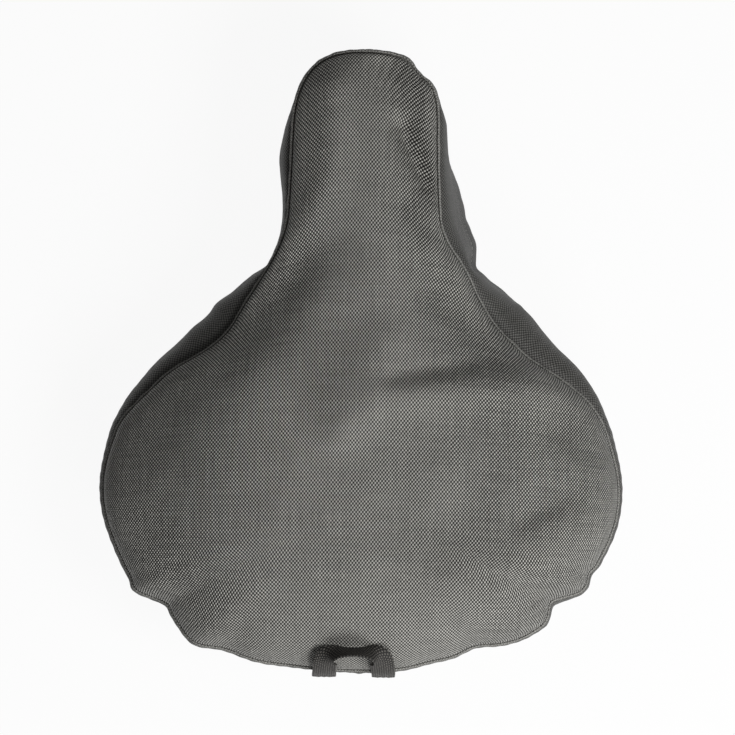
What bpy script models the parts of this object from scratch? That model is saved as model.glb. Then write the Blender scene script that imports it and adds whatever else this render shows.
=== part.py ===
"""Bike saddle cover of coated canvas, for a wide city saddle.

A saddle-shaped top panel and a gathered side band are sewn together round a welt. The band's lower
edge is turned in as a casing for a flat elastic, and a webbing loop is sewn on at the back.
Metres, +Z up, nose towards +Y. The cover stands on its hem at Z = 0, and the origin is on that
plane, under the middle of its outline.
"""
import bmesh
import bpy
import numpy as np

# The seam line seen from above: half widths at their places along the cover
NOSE_TIP_Y = 0.1463
NOSE_ROUNDING = 0.0340
NOSE_HALF = 0.0338
NOSE_POWER = 2.5
NECK_Y = 0.0710
NECK_HALF = 0.0352
WAIST_Y = 0.0210
WAIST_HALF = 0.0607
SHOULDER_Y = -0.0090
SHOULDER_HALF = 0.0955
FLANK_Y = -0.0330
FLANK_HALF = 0.1155
WING_Y = -0.0590
WING_HALF = 0.1213
REAR_Y = -0.1433
REAR_POWER = 2.1

# Heights of the seam, and of the crown along the middle
NOSE_SEAM_Z = 0.069
NECK_SEAM_Z = 0.067
WAIST_SEAM_Z = 0.057
WING_SEAM_Z = 0.047
REAR_SEAM_Z = 0.0515
NOSE_CROWN_Z = 0.078
NECK_CROWN_Z = 0.081
WAIST_CROWN_Z = 0.081
WING_CROWN_Z = 0.085
REAR_CROWN_Z = 0.086
NOSE_EDGE_POWER = 2.3
WING_EDGE_POWER = 3.4

# Cloth and making up
CLOTH = 0.0007
CLEARANCE = 0.0003
ALLOWANCE = 0.008
WELT_RADIUS = 0.00085
HEM_HEIGHT = 0.014
HEM_WIDTH = 0.0056
HEM_TOP_WIDTH = 0.0037
HEM_CURVE = 2.2
ELASTIC_WIDTH = 0.006
ELASTIC_THICKNESS = 0.0009

# The side band's bulges below the seam and its reaches at the hem, both from the seam line, at
# places along the cover, for the right and the left side
BAND_RIGHT = (
    (REAR_Y, 0.0015, -0.018),
    (-0.099, 0.0020, -0.022),
    (-0.059, 0.0025, -0.024),
    (-0.030, 0.0030, -0.018),
    (-0.018, 0.0060, -0.011),
    (-0.010, 0.0088, -0.006),
    (-0.002, 0.0106, -0.001),
    (0.005, 0.0128, 0.006),
    (0.012, 0.0140, 0.0125),
    (0.019, 0.0130, 0.0150),
    (0.027, 0.0100, 0.0140),
    (0.036, 0.0062, 0.0104),
    (0.046, 0.0056, 0.0116),
    (0.062, 0.0065, 0.0140),
    (0.077, 0.0055, 0.0122),
    (0.090, 0.0045, 0.0080),
    (0.100, 0.0042, 0.0035),
    (0.112, 0.0040, -0.001),
    (0.125, 0.0013, -0.004),
    (NOSE_TIP_Y, 0.0010, -0.008),
)
BAND_LEFT = (
    (REAR_Y, 0.0015, -0.018),
    (-0.099, 0.0020, -0.022),
    (-0.059, 0.0020, -0.024),
    (-0.029, 0.0035, -0.016),
    (-0.017, 0.0062, -0.008),
    (-0.001, 0.0082, 0.001),
    (0.010, 0.0120, 0.005),
    (0.019, 0.0118, 0.005),
    (0.030, 0.0074, 0.003),
    (0.039, 0.0042, 0.002),
    (0.047, 0.0006, 0.000),
    (0.056, 0.0010, -0.001),
    (0.066, 0.0020, -0.002),
    (0.080, 0.0032, -0.001),
    (0.097, 0.0053, 0.000),
    (0.108, 0.0042, 0.000),
    (0.125, 0.0008, -0.003),
    (NOSE_TIP_Y, 0.0010, -0.008),
)

# Where the seam line wanders in or out: side, place along the cover, reach each way, distance
SEAM_WAVES = (
    (1, -0.0900, 0.0150, -0.0012),
    (1, -0.1135, 0.0085, -0.0050),
    (1, -0.1250, 0.0080, 0.0010),
    (1, -0.1350, 0.0100, -0.0038),
    (1, -0.1400, 0.0120, -0.0018),
    (1, -0.0170, 0.0150, 0.0024),
    (1, 0.0050, 0.0100, -0.0010),
    (1, 0.0440, 0.0140, 0.0026),
    (1, 0.1368, 0.0045, -0.0020),
    (-1, -0.0850, 0.0150, -0.0010),
    (-1, -0.1045, 0.0065, 0.0024),
    (-1, -0.1150, 0.0080, -0.0024),
    (-1, -0.1270, 0.0100, 0.0046),
    (-1, -0.1370, 0.0140, 0.0016),
    (-1, 0.0110, 0.0180, -0.0026),
    (-1, 0.1290, 0.0160, -0.0012),
)

# Deep pleats in the band: side, place along the cover, reach each way, distance
BAND_PLEATS = (
    (1, 0.0440, 0.0060, -0.0050),
    (1, -0.1135, 0.0100, 0.0030),
)
GATHERS = 19
SLOW_GATHERS = 8
GATHER_DEPTH = 0.0016
SLOW_GATHER_DEPTH = 0.0012
GATHER_CURVE = 1.6
SHOULDER_CURVE = 0.62

# Where the band is drawn taut and its gathers fade: side, place, reach each way, share
TAUT_PLACES = (
    (1, 0.0000, 0.0450, 0.9),
    (1, 0.0700, 0.0450, 0.9),
    (-1, 0.0250, 0.0600, 0.9),
)

# Soft folds of the top panel: height, reach to each side, and the path from above
FOLDS = (
    (-0.0031, 0.0150, ((-0.020, 0.060), (-0.069, -0.005), (-0.121, -0.043))),
    (-0.0055, 0.0167, ((-0.038, 0.048), (-0.091, 0.003), (-0.121, -0.034), (-0.109, -0.078))),
    (0.0016, 0.0073, ((-0.022, 0.070), (-0.036, 0.045))),
    (0.0015, 0.0055, ((-0.045, 0.036), (-0.024, 0.078))),
    (-0.0013, 0.0065, ((0.013, -0.005), (0.056, 0.002), (0.095, 0.004))),
    (0.0045, 0.0106, ((-0.008, -0.028), (0.010, -0.012), (0.041, -0.010), (0.095, -0.006))),
    (0.0033, 0.0080, ((0.031, 0.053), (0.067, 0.020))),
    (-0.0033, 0.0097, ((0.033, 0.034), (0.067, 0.005))),
    (-0.0027, 0.0086, ((0.025, 0.048), (0.061, 0.009))),
    (-0.0042, 0.0053, ((0.018, 0.111), (0.033, 0.077))),
    (-0.0024, 0.0066, ((0.021, 0.074), (0.037, 0.064), (0.047, 0.050))),
    (-0.0050, 0.0105, ((0.010, 0.141), (0.025, 0.086))),
    (0.0027, 0.0091, ((-0.017, 0.130), (-0.018, 0.087))),
    (0.0027, 0.0105, ((0.009, 0.011), (-0.003, -0.006), (-0.016, -0.015))),
    (0.0015, 0.0142, ((-0.017, -0.001), (0.034, -0.056))),
    (-0.0015, 0.0151, ((-0.041, -0.024), (0.023, -0.070))),
    (-0.0021, 0.0090, ((0.077, -0.068), (0.096, -0.057))),
    (-0.0065, 0.0125, ((0.094, -0.025), (0.116, -0.032))),
    (0.0058, 0.0212, ((0.050, -0.108), (0.106, -0.077))),
    (-0.0044, 0.0222, ((-0.090, -0.094), (-0.093, -0.045))),
    (-0.0010, 0.0149, ((-0.077, -0.119), (-0.039, -0.124))),
    (0.0060, 0.0570, ((-0.086, -0.083), (-0.024, -0.116))),
)
FOLD_FADE = 8

# Webbing loop: spacing of its legs, and its middle line from the seam up to the top of the loop,
# as share of the way out to a leg, forward of the seam, above the panel, and the turn of the
# webbing from lying flat to standing on its edge
WEBBING_WIDTH = 0.0112
WEBBING_THICKNESS = 0.0012
LOOP_X = -0.0022
LOOP_SPACING = 0.0280
LOOP_LEG = 0.026
BEHIND_MARGIN = 0.008
LOOP_RISE = (
    (1.00, -0.0012, 0.0040, 0.00),
    (0.985, 0.0010, 0.0088, 0.00),
    (0.955, 0.0046, 0.0068, 0.05),
    (0.90, 0.0074, 0.0068, 0.45),
    (0.77, 0.0095, 0.0072, 0.90),
    (0.53, 0.0106, 0.0077, 1.15),
    (0.26, 0.0110, 0.0079, 1.27),
    (0.00, 0.0111, 0.0079, 1.30),
)

# Mesh resolution
ROUND = 112
PANEL_RINGS = 9
ALLOWANCE_ROWS = 2
BAND_ROWS = (0.0, 0.07, 0.20, 0.40, 0.65)
LOOP_STEPS = 44


def through(stations, at):
    """Smooth curve through (place, value) stations in rising order that never overshoots them."""
    place, value = np.array(stations, dtype=float).T
    step = np.diff(place)
    rise = np.diff(value) / step
    before, after = rise[:-1], rise[1:]
    same_way = before * after > 0
    slope = np.zeros_like(value)
    slope[1:-1][same_way] = 2 * (before * after)[same_way] / (before + after)[same_way]
    at = np.clip(at, place[0], place[-1])
    left = np.clip(np.searchsorted(place, at) - 1, 0, len(step) - 1)
    t = (at - place[left]) / step[left]
    pull = t * (1 - t) ** 2 * slope[left] - t ** 2 * (1 - t) * slope[left + 1]
    blend = t ** 2 * (3 - 2 * t)
    return value[left] * (1 - blend) + value[left + 1] * blend + pull * step[left]


def half_width(y):
    """Half the width between the seams, from the wings to where the nose starts to round."""
    return through(
        (
            (WING_Y, WING_HALF),
            (FLANK_Y, FLANK_HALF),
            (SHOULDER_Y, SHOULDER_HALF),
            (WAIST_Y, WAIST_HALF),
            (NECK_Y, NECK_HALF),
            (NOSE_TIP_Y - NOSE_ROUNDING, NOSE_HALF),
        ),
        y,
    )


def plain_outline():
    """The even outline, anticlockwise from the rear: ROUND points as x, y, and signed distance
    from the rear along each side, positive on the right."""
    turn = np.linspace(0, np.pi / 2, 200)
    side_y = np.linspace(WING_Y, NOSE_TIP_Y - NOSE_ROUNDING, 400)[1:-1]
    x = np.concatenate((
        WING_HALF * np.sin(turn) ** (2 / REAR_POWER),
        half_width(side_y),
        NOSE_HALF * np.cos(turn) ** (2 / NOSE_POWER),
    ))
    y = np.concatenate((
        WING_Y + (REAR_Y - WING_Y) * np.cos(turn) ** (2 / REAR_POWER),
        side_y,
        NOSE_TIP_Y - NOSE_ROUNDING + NOSE_ROUNDING * np.sin(turn) ** (2 / NOSE_POWER),
    ))
    run = np.concatenate(([0], np.cumsum(np.hypot(np.diff(x), np.diff(y)))))
    arc = np.linspace(0, run[-1], ROUND // 2 + 1)
    x, y = np.interp(arc, run, x), np.interp(arc, run, y)
    x[0] = x[-1] = 0
    return (
        np.concatenate((x, -x[-2:0:-1])),
        np.concatenate((y, y[-2:0:-1])),
        np.concatenate((arc, -arc[-2:0:-1])),
    )


X, Y, ARC = plain_outline()
HALF_ROUND = ARC.max()
OUT = np.stack((np.roll(Y, -1) - np.roll(Y, 1), np.roll(X, 1) - np.roll(X, -1)), axis=1)
OUT /= np.linalg.norm(OUT, axis=1)[:, None]


def waves(places):
    """Sum of bell-shaped waves along the outline, each at a side and a place along the cover."""
    half = ROUND // 2 + 1
    total = np.zeros(ROUND)
    for side, y, reach, distance in places:
        gap = ARC - side * np.interp(y, Y[:half], ARC[:half])
        gap = (gap + HALF_ROUND) % (2 * HALF_ROUND) - HALF_ROUND
        total += distance * np.exp(-((gap / reach) ** 2))
    return total


def seam_height(y):
    """Height of the seam line at a place along the cover."""
    return through(
        (
            (REAR_Y, REAR_SEAM_Z),
            (WING_Y, WING_SEAM_Z),
            (WAIST_Y, WAIST_SEAM_Z),
            (NECK_Y, NECK_SEAM_Z),
            (NOSE_TIP_Y, NOSE_SEAM_Z),
        ),
        y,
    )


def crown_height(y):
    """Height of the top along the middle, before its edges round down to the seam."""
    return through(
        (
            (REAR_Y, REAR_CROWN_Z),
            (WING_Y, WING_CROWN_Z),
            (WAIST_Y, WAIST_CROWN_Z),
            (NECK_Y, NECK_CROWN_Z),
            (NOSE_TIP_Y, NOSE_CROWN_Z),
        ),
        y,
    )


def fold_heights(x, y):
    """Ridges and valleys: bell-shaped across each path, fading over its ends."""
    x = np.asarray(x, dtype=float)
    total = np.zeros_like(x)
    for height, reach, path in FOLDS:
        nearest = np.full_like(x, np.inf)
        for (ax, ay), (bx, by) in zip(path, path[1:]):
            length = (bx - ax) ** 2 + (by - ay) ** 2
            t = np.clip(((x - ax) * (bx - ax) + (y - ay) * (by - ay)) / length, 0, 1)
            away = np.hypot(x - ax - t * (bx - ax), y - ay - t * (by - ay))
            nearest = np.minimum(nearest, away)
        total += height * np.exp(-((nearest / reach) ** 2))
    return total


def panel_height(x, y, v):
    """Height of the panel at a point that is v of the way from the spine to the seam."""
    power = through(((WING_Y, WING_EDGE_POWER), (NECK_Y, NOSE_EDGE_POWER)), y)
    edge = np.sqrt(np.clip(1 - v ** power, 0, 1))
    seam = seam_height(y)
    return seam + (crown_height(y) - seam) * edge + fold_heights(x, y) * (1 - v ** FOLD_FADE)


SEAM_OUT = waves(SEAM_WAVES)
SEAM_XY = np.stack((X, Y), axis=1) + OUT * SEAM_OUT[:, None]
SEAM_Z = seam_height(Y)


def ring(out, z):
    """A ring of points at a distance outside the seam line, at a height."""
    xy = SEAM_XY + OUT * np.broadcast_to(out, ROUND)[:, None]
    return np.column_stack((xy, np.broadcast_to(z, ROUND)))


def band_out(t):
    """How far outside the seam line the band's face is, t of the way down to the hem."""
    t = np.clip(t, 0, 1)
    shape = []
    for column in (1, 2):
        right = through([(row[0], row[column]) for row in BAND_RIGHT], Y)
        left = through([(row[0], row[column]) for row in BAND_LEFT], Y)
        shape.append(np.where(ARC < 0, left, right))
    bulge, hem = shape
    angle = np.pi * ARC / HALF_ROUND
    gathers = GATHER_DEPTH * np.cos(GATHERS * angle + 2 * np.sin(3 * angle))
    gathers = gathers + SLOW_GATHER_DEPTH * np.sin(SLOW_GATHERS * angle)
    gathers = gathers * (1 - np.minimum(waves(TAUT_PLACES), 1))
    shoulder = t ** SHOULDER_CURVE
    middle = 4 * t * (1 - t)
    pleats = waves(BAND_PLEATS) * (middle + t ** 2) / 1.25
    return (
        CLEARANCE + CLOTH + bulge * 4 * shoulder * (1 - shoulder) + hem * t ** HEM_CURVE
        + gathers * t ** GATHER_CURVE + pleats
    )


BAND_TOP_Z = SEAM_Z - WELT_RADIUS - CLEARANCE


def band_ring(z, inward=0.0):
    """The band's face at a height, moved inward by a distance."""
    return ring(band_out(1 - z / BAND_TOP_Z) - inward, z)


def casing_width(z):
    """Width of the hem's casing at a height, from face to face."""
    return HEM_WIDTH + (HEM_TOP_WIDTH - HEM_WIDTH) * z / HEM_HEIGHT


def collection():
    """The collection that holds the cover's pieces."""
    found = bpy.data.collections.new("bike_saddle_cover")
    bpy.context.scene.collection.children.link(found)
    return found


def material(name, colour, roughness):
    """A plain finish with a Principled shader."""
    made = bpy.data.materials.new(name)
    made.use_nodes = True
    shader = made.node_tree.nodes["Principled BSDF"]
    shader.inputs["Base Color"].default_value = (*colour, 1)
    shader.inputs["Roughness"].default_value = roughness
    shader.inputs["Metallic"].default_value = 0
    return made


def place(name, mesh, finish, group):
    """A named object that carries a mesh and its finish."""
    mesh.materials.append(finish)
    piece = bpy.data.objects.new(name, mesh)
    group.objects.link(piece)
    return piece


def rows_mesh(name, rows, closed_round):
    """A surface through rows of points, each joined to the next, with faces to the outside."""
    count = len(rows[0])
    rim = count if closed_round else count - 1
    faces = []
    for row in range(len(rows) - 1):
        for i in range(rim):
            j = (i + 1) % count
            low, high = (row + 1) * count, row * count
            faces.append((low + i, low + j, high + j, high + i))
    mesh = bpy.data.meshes.new(name)
    mesh.from_pydata(np.concatenate(rows).tolist(), [], faces)
    return mesh


def thicken(piece, thickness, offset):
    """Give a sheet its thickness."""
    solid = piece.modifiers.new("thickness", "SOLIDIFY")
    solid.thickness = thickness
    solid.offset = offset
    solid.use_even_offset = True


def top_panel(finish, group):
    """The top: rings from the spine out to the seam, then the allowance turned down inside it."""
    spine = np.clip(Y, WING_Y, NOSE_TIP_Y - NOSE_ROUNDING)
    rows = []
    for v in np.sin(np.linspace(0, np.pi / 2, PANEL_RINGS + 1))[1:]:
        x, y = v * X, spine + v * (Y - spine)
        z = panel_height(x, y, v)
        shift = OUT * (SEAM_OUT * v ** 3)[:, None]
        rows.append(np.column_stack((x + shift[:, 0], y + shift[:, 1], z)))
    rows[-1][:, 2] = SEAM_Z
    for down in np.linspace(0, ALLOWANCE, ALLOWANCE_ROWS + 1)[1:]:
        rows.append(ring(0, SEAM_Z - down))
    mesh = rows_mesh("top_panel", rows, True)
    middle = bmesh.new()
    middle.from_mesh(mesh)
    middle.verts.ensure_lookup_table()
    for i in range(ROUND // 2):
        corners = [i, i + 1, ROUND - i - 1, (ROUND - i) % ROUND]
        middle.faces.new([middle.verts[k] for k in dict.fromkeys(corners)])
    middle.to_mesh(mesh)
    middle.free()
    piece = place("top_panel", mesh, finish, group)
    mesh.shade_smooth()
    thicken(piece, CLOTH, -1)


def side_band(finish, group):
    """The skirt from under the welt to the hem, turned in and up again as the casing."""
    hem_t = 1 - HEM_HEIGHT / BAND_TOP_Z
    rows = [band_ring(BAND_TOP_Z * (1 - hem_t * share)) for share in BAND_ROWS]
    rows += [band_ring(z) for z in (HEM_HEIGHT, HEM_HEIGHT / 2, 0.0)]
    rows += [band_ring(z, casing_width(z)) for z in (0.0, HEM_HEIGHT / 2, HEM_HEIGHT)]
    mesh = rows_mesh("side_band", rows, True)
    mesh.shade_smooth()
    mesh.set_sharp_from_angle(angle=np.radians(50))
    thicken(place("side_band", mesh, finish, group), CLOTH, -1)


def hem_elastic(finish, group):
    """The flat elastic ring that stands in the middle of the casing."""
    low = CLOTH + CLEARANCE
    rows = [
        band_ring(z, (casing_width(z) - ELASTIC_THICKNESS) / 2)
        for z in (low + ELASTIC_WIDTH, low)
    ]
    mesh = rows_mesh("hem_elastic", rows, True)
    thicken(place("hem_elastic", mesh, finish, group), ELASTIC_THICKNESS, -1)


def seam_welt(finish, group):
    """The round bead outside the panel's turned edge, on top of the band."""
    points = ring(CLEARANCE + WELT_RADIUS, SEAM_Z)
    curve = bpy.data.curves.new("seam_welt", "CURVE")
    curve.dimensions = "3D"
    curve.bevel_depth = WELT_RADIUS
    curve.bevel_resolution = 1
    spline = curve.splines.new("POLY")
    spline.points.add(ROUND - 1)
    for point, place_at in zip(spline.points, points):
        point.co = (*place_at, 1)
    spline.use_cyclic_u = True
    place("seam_welt", curve, finish, group)


def loop_line():
    """Half of the loop's middle line, from the leg's end on the band up to the top of the loop,
    as share of the way out to a leg, y, z and turn of the webbing."""
    reach = (LOOP_SPACING + WEBBING_WIDTH) / 2
    behind = (np.abs(X - LOOP_X) < reach + BEHIND_MARGIN) & (Y < WING_Y)
    stand_off = CLEARANCE + WEBBING_THICKNESS / 2
    leg_top = SEAM_Z[0] - WELT_RADIUS
    points = []
    for down in (LOOP_LEG, LOOP_LEG * 0.62, LOOP_LEG * 0.28):
        face = band_ring(leg_top - down)[behind, 1].min()
        points.append((1.0, face - stand_off, leg_top - down, 0.0))
    welt_face = ring(CLEARANCE + 2 * WELT_RADIUS, SEAM_Z)[behind, 1].min()
    points.append((1.0, welt_face - stand_off, leg_top, 0.0))
    for share, forward, up, turn in LOOP_RISE:
        y = REAR_Y + forward
        v = min((WING_Y - y) / (WING_Y - REAR_Y), 1)
        points.append((share, y - stand_off, float(panel_height(0.0, y, v)) + up, turn))
    return points


def pull_loop(finish, group):
    """The webbing loop: flat on the band at its legs, and on its edge at the top."""
    half = loop_line()
    left = [(-share, y, z, turn) for share, y, z, turn in half]
    right = [(share, y, z, turn) for share, y, z, turn in half]
    knots = np.array(left + right[-2::-1])
    knots[:, 0] = LOOP_X + knots[:, 0] * LOOP_SPACING / 2
    run = np.concatenate(([0], np.cumsum(np.linalg.norm(np.diff(knots[:, :3], axis=0), axis=1))))
    at = np.linspace(0, run[-1], LOOP_STEPS + 1)
    line = np.column_stack([smooth_line(run, column, at) for column in knots.T])
    along = np.gradient(line[:, :3], axis=0)
    along /= np.linalg.norm(along, axis=1)[:, None]
    level = np.column_stack((along[:, 1] + along[:, 2], -along[:, 0])) * np.cos(line[:, 3:])
    across = np.column_stack((level, np.sin(line[:, 3])))
    across -= along * np.sum(across * along, axis=1)[:, None]
    across *= WEBBING_WIDTH / 2 / np.linalg.norm(across, axis=1)[:, None]
    mesh = rows_mesh("pull_loop", [line[:, :3] - across, line[:, :3] + across], False)
    thicken(place("pull_loop", mesh, finish, group), WEBBING_THICKNESS, 0)


def smooth_line(run, values, at):
    """Smooth curve through values at rising distances, turning evenly at each of them."""
    slope = np.gradient(values, run)
    left = np.clip(np.searchsorted(run, at) - 1, 0, len(run) - 2)
    step = run[left + 1] - run[left]
    t = (at - run[left]) / step
    blend = t ** 2 * (3 - 2 * t)
    pull = t * (1 - t) ** 2 * slope[left] - t ** 2 * (1 - t) * slope[left + 1]
    return values[left] * (1 - blend) + values[left + 1] * blend + pull * step


def main():
    for old in list(bpy.data.objects):
        bpy.data.objects.remove(old)
    group = collection()
    canvas = material("grey_canvas", (0.110, 0.108, 0.101), 0.75)
    elastic = material("white_elastic", (0.60, 0.60, 0.58), 0.85)
    webbing = material("dark_webbing", (0.050, 0.049, 0.045), 0.80)
    top_panel(canvas, group)
    side_band(canvas, group)
    seam_welt(canvas, group)
    hem_elastic(elastic, group)
    pull_loop(webbing, group)


main()
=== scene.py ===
"""Finish for a bike saddle cover of coated canvas: cloth, seams, stitches, webbing and studio.

The cover's form is worked out again here with a fine grid, from the same named sizes as its solids.
Metres, +Z up, nose towards +Y, hem at Z = 0.
"""
import math

import bpy
import numpy as np
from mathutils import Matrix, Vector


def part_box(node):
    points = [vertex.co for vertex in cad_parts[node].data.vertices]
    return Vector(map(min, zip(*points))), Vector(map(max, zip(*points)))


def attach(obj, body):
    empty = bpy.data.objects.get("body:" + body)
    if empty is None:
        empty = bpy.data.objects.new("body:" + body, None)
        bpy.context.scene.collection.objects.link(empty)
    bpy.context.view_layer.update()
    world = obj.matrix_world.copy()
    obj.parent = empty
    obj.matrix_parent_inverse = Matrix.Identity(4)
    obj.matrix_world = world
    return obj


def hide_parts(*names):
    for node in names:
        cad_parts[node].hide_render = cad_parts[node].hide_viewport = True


bl_info = {
    "name": "Bike Saddle Cover",
    "version": (1, 0, 0),
    "blender": (4, 5, 0),
    "location": "View3D > Sidebar > Saddle Cover",
    "description": "Sews a canvas saddle cover round its packed solids and lights it",
    "category": "Add Mesh",
}

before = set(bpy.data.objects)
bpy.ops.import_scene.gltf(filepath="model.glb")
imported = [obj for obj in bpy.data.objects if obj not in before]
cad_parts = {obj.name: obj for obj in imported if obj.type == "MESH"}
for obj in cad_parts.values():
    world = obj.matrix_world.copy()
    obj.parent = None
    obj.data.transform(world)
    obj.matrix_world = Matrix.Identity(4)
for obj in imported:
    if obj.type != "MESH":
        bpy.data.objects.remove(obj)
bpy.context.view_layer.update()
PANEL_LOW, PANEL_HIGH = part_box("top_panel")

# The seam line seen from above: half widths at their places along the cover
NOSE_TIP_Y = PANEL_HIGH[1]
NOSE_ROUNDING = 0.0340
NOSE_HALF = 0.0338
NOSE_POWER = 2.5
NECK_Y = 0.0710
NECK_HALF = 0.0352
WAIST_Y = 0.0210
WAIST_HALF = 0.0607
SHOULDER_Y = -0.0090
SHOULDER_HALF = 0.0955
FLANK_Y = -0.0330
FLANK_HALF = 0.1155
WING_Y = -0.0590
WING_HALF = 0.1213
REAR_Y = PANEL_LOW[1]
REAR_POWER = 2.1

# Heights of the seam and of the crown along the middle, at the rear, wings, waist, neck and nose
PLACES_Y = (REAR_Y, WING_Y, WAIST_Y, NECK_Y, NOSE_TIP_Y)
SEAM_HEIGHTS = (0.0515, 0.047, 0.057, 0.067, 0.069)
CROWN_HEIGHTS = (0.086, 0.085, 0.081, 0.081, 0.078)
NOSE_EDGE_POWER = 2.3
WING_EDGE_POWER = 3.4

# Cloth and making up
CLOTH = 0.0007
CLEARANCE = 0.0003
ALLOWANCE = 0.008
HEM_HEIGHT = 0.014
HEM_WIDTH = 0.0056
HEM_TOP_WIDTH = 0.0037
HEM_CURVE = 2.2
ELASTIC_WIDTH = 0.006
ELASTIC_THICKNESS = 0.0009

# The side band's bulges below the seam and its reaches at the hem, right and left
BAND_RIGHT = (
    (REAR_Y, 0.0015, -0.018),
    (-0.099, 0.0020, -0.022),
    (-0.059, 0.0025, -0.024),
    (-0.030, 0.0030, -0.018),
    (-0.018, 0.0060, -0.011),
    (-0.010, 0.0088, -0.006),
    (-0.002, 0.0106, -0.001),
    (0.005, 0.0128, 0.006),
    (0.012, 0.0140, 0.0125),
    (0.019, 0.0130, 0.0150),
    (0.027, 0.0100, 0.0140),
    (0.036, 0.0062, 0.0104),
    (0.046, 0.0056, 0.0116),
    (0.062, 0.0065, 0.0140),
    (0.077, 0.0055, 0.0122),
    (0.090, 0.0045, 0.0080),
    (0.100, 0.0042, 0.0035),
    (0.112, 0.0040, -0.001),
    (0.125, 0.0013, -0.004),
    (NOSE_TIP_Y, 0.0010, -0.008),
)
BAND_LEFT = (
    (REAR_Y, 0.0015, -0.018),
    (-0.099, 0.0020, -0.022),
    (-0.059, 0.0020, -0.024),
    (-0.029, 0.0035, -0.016),
    (-0.017, 0.0062, -0.008),
    (-0.001, 0.0082, 0.001),
    (0.010, 0.0120, 0.005),
    (0.019, 0.0118, 0.005),
    (0.030, 0.0074, 0.003),
    (0.039, 0.0042, 0.002),
    (0.047, 0.0006, 0.000),
    (0.056, 0.0010, -0.001),
    (0.066, 0.0020, -0.002),
    (0.080, 0.0032, -0.001),
    (0.097, 0.0053, 0.000),
    (0.108, 0.0042, 0.000),
    (0.125, 0.0008, -0.003),
    (NOSE_TIP_Y, 0.0010, -0.008),
)

# Where the seam line wanders in or out: side, place along the cover, reach each way, distance
SEAM_WAVES = (
    (1, -0.0900, 0.0150, -0.0012),
    (1, -0.1135, 0.0085, -0.0050),
    (1, -0.1250, 0.0080, 0.0010),
    (1, -0.1350, 0.0100, -0.0038),
    (1, -0.1400, 0.0120, -0.0018),
    (1, -0.0170, 0.0150, 0.0024),
    (1, 0.0050, 0.0100, -0.0010),
    (1, 0.0440, 0.0140, 0.0026),
    (1, 0.1368, 0.0045, -0.0020),
    (-1, -0.0850, 0.0150, -0.0010),
    (-1, -0.1045, 0.0065, 0.0024),
    (-1, -0.1150, 0.0080, -0.0024),
    (-1, -0.1270, 0.0100, 0.0046),
    (-1, -0.1370, 0.0140, 0.0016),
    (-1, 0.0110, 0.0180, -0.0026),
    (-1, 0.1290, 0.0160, -0.0012),
)

# Small notches of the seam line, in the same form
SEAM_NOTCHES = (
    (1, -0.0975, 0.0030, -0.0012),
    (1, -0.1040, 0.0050, 0.0011),
    (1, -0.1150, 0.0032, -0.0012),
    (1, -0.1195, 0.0050, 0.0012),
    (-1, -0.1010, 0.0030, -0.0009),
    (-1, -0.1160, 0.0034, -0.0010),
    (1, 0.1400, 0.0028, -0.0009),
)

# Deep pleats in the band, and the even gathers of its hem
BAND_PLEATS = (
    (1, 0.0440, 0.0060, -0.0050),
    (1, -0.1135, 0.0100, 0.0030),
)
GATHERS = 19
SLOW_GATHERS = 8
GATHER_DEPTH = 0.0016
SLOW_GATHER_DEPTH = 0.0012
GATHER_CURVE = 1.6
SHOULDER_CURVE = 0.62

# How far the band's upper edge is tucked under the bead, and how far down that reaches
TUCK_DEPTH = 0.0004
TUCK_REACH = 0.0012

# Where the band is drawn taut and its gathers fade: side, place, reach each way, share
TAUT_PLACES = (
    (1, 0.0000, 0.0450, 0.9),
    (1, 0.0700, 0.0450, 0.9),
    (-1, 0.0250, 0.0600, 0.9),
)

# Soft folds of the top panel: height, reach to each side, and the path from above
FOLDS = (
    (-0.0031, 0.0150, ((-0.020, 0.060), (-0.069, -0.005), (-0.121, -0.043))),
    (-0.0055, 0.0167, ((-0.038, 0.048), (-0.091, 0.003), (-0.121, -0.034), (-0.109, -0.078))),
    (0.0016, 0.0073, ((-0.022, 0.070), (-0.036, 0.045))),
    (0.0015, 0.0055, ((-0.045, 0.036), (-0.024, 0.078))),
    (-0.0013, 0.0065, ((0.013, -0.005), (0.056, 0.002), (0.095, 0.004))),
    (0.0045, 0.0106, ((-0.008, -0.028), (0.010, -0.012), (0.041, -0.010), (0.095, -0.006))),
    (0.0033, 0.0080, ((0.031, 0.053), (0.067, 0.020))),
    (-0.0033, 0.0097, ((0.033, 0.034), (0.067, 0.005))),
    (-0.0027, 0.0086, ((0.025, 0.048), (0.061, 0.009))),
    (-0.0042, 0.0053, ((0.018, 0.111), (0.033, 0.077))),
    (-0.0024, 0.0066, ((0.021, 0.074), (0.037, 0.064), (0.047, 0.050))),
    (-0.0050, 0.0105, ((0.010, 0.141), (0.025, 0.086))),
    (0.0027, 0.0091, ((-0.017, 0.130), (-0.018, 0.087))),
    (0.0027, 0.0105, ((0.009, 0.011), (-0.003, -0.006), (-0.016, -0.015))),
    (0.0015, 0.0142, ((-0.017, -0.001), (0.034, -0.056))),
    (-0.0015, 0.0151, ((-0.041, -0.024), (0.023, -0.070))),
    (-0.0021, 0.0090, ((0.077, -0.068), (0.096, -0.057))),
    (-0.0065, 0.0125, ((0.094, -0.025), (0.116, -0.032))),
    (0.0058, 0.0212, ((0.050, -0.108), (0.106, -0.077))),
    (-0.0044, 0.0222, ((-0.090, -0.094), (-0.093, -0.045))),
    (-0.0010, 0.0149, ((-0.077, -0.119), (-0.039, -0.124))),
    (0.0060, 0.0570, ((-0.086, -0.083), (-0.024, -0.116))),
)
FOLD_FADE = 8

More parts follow.
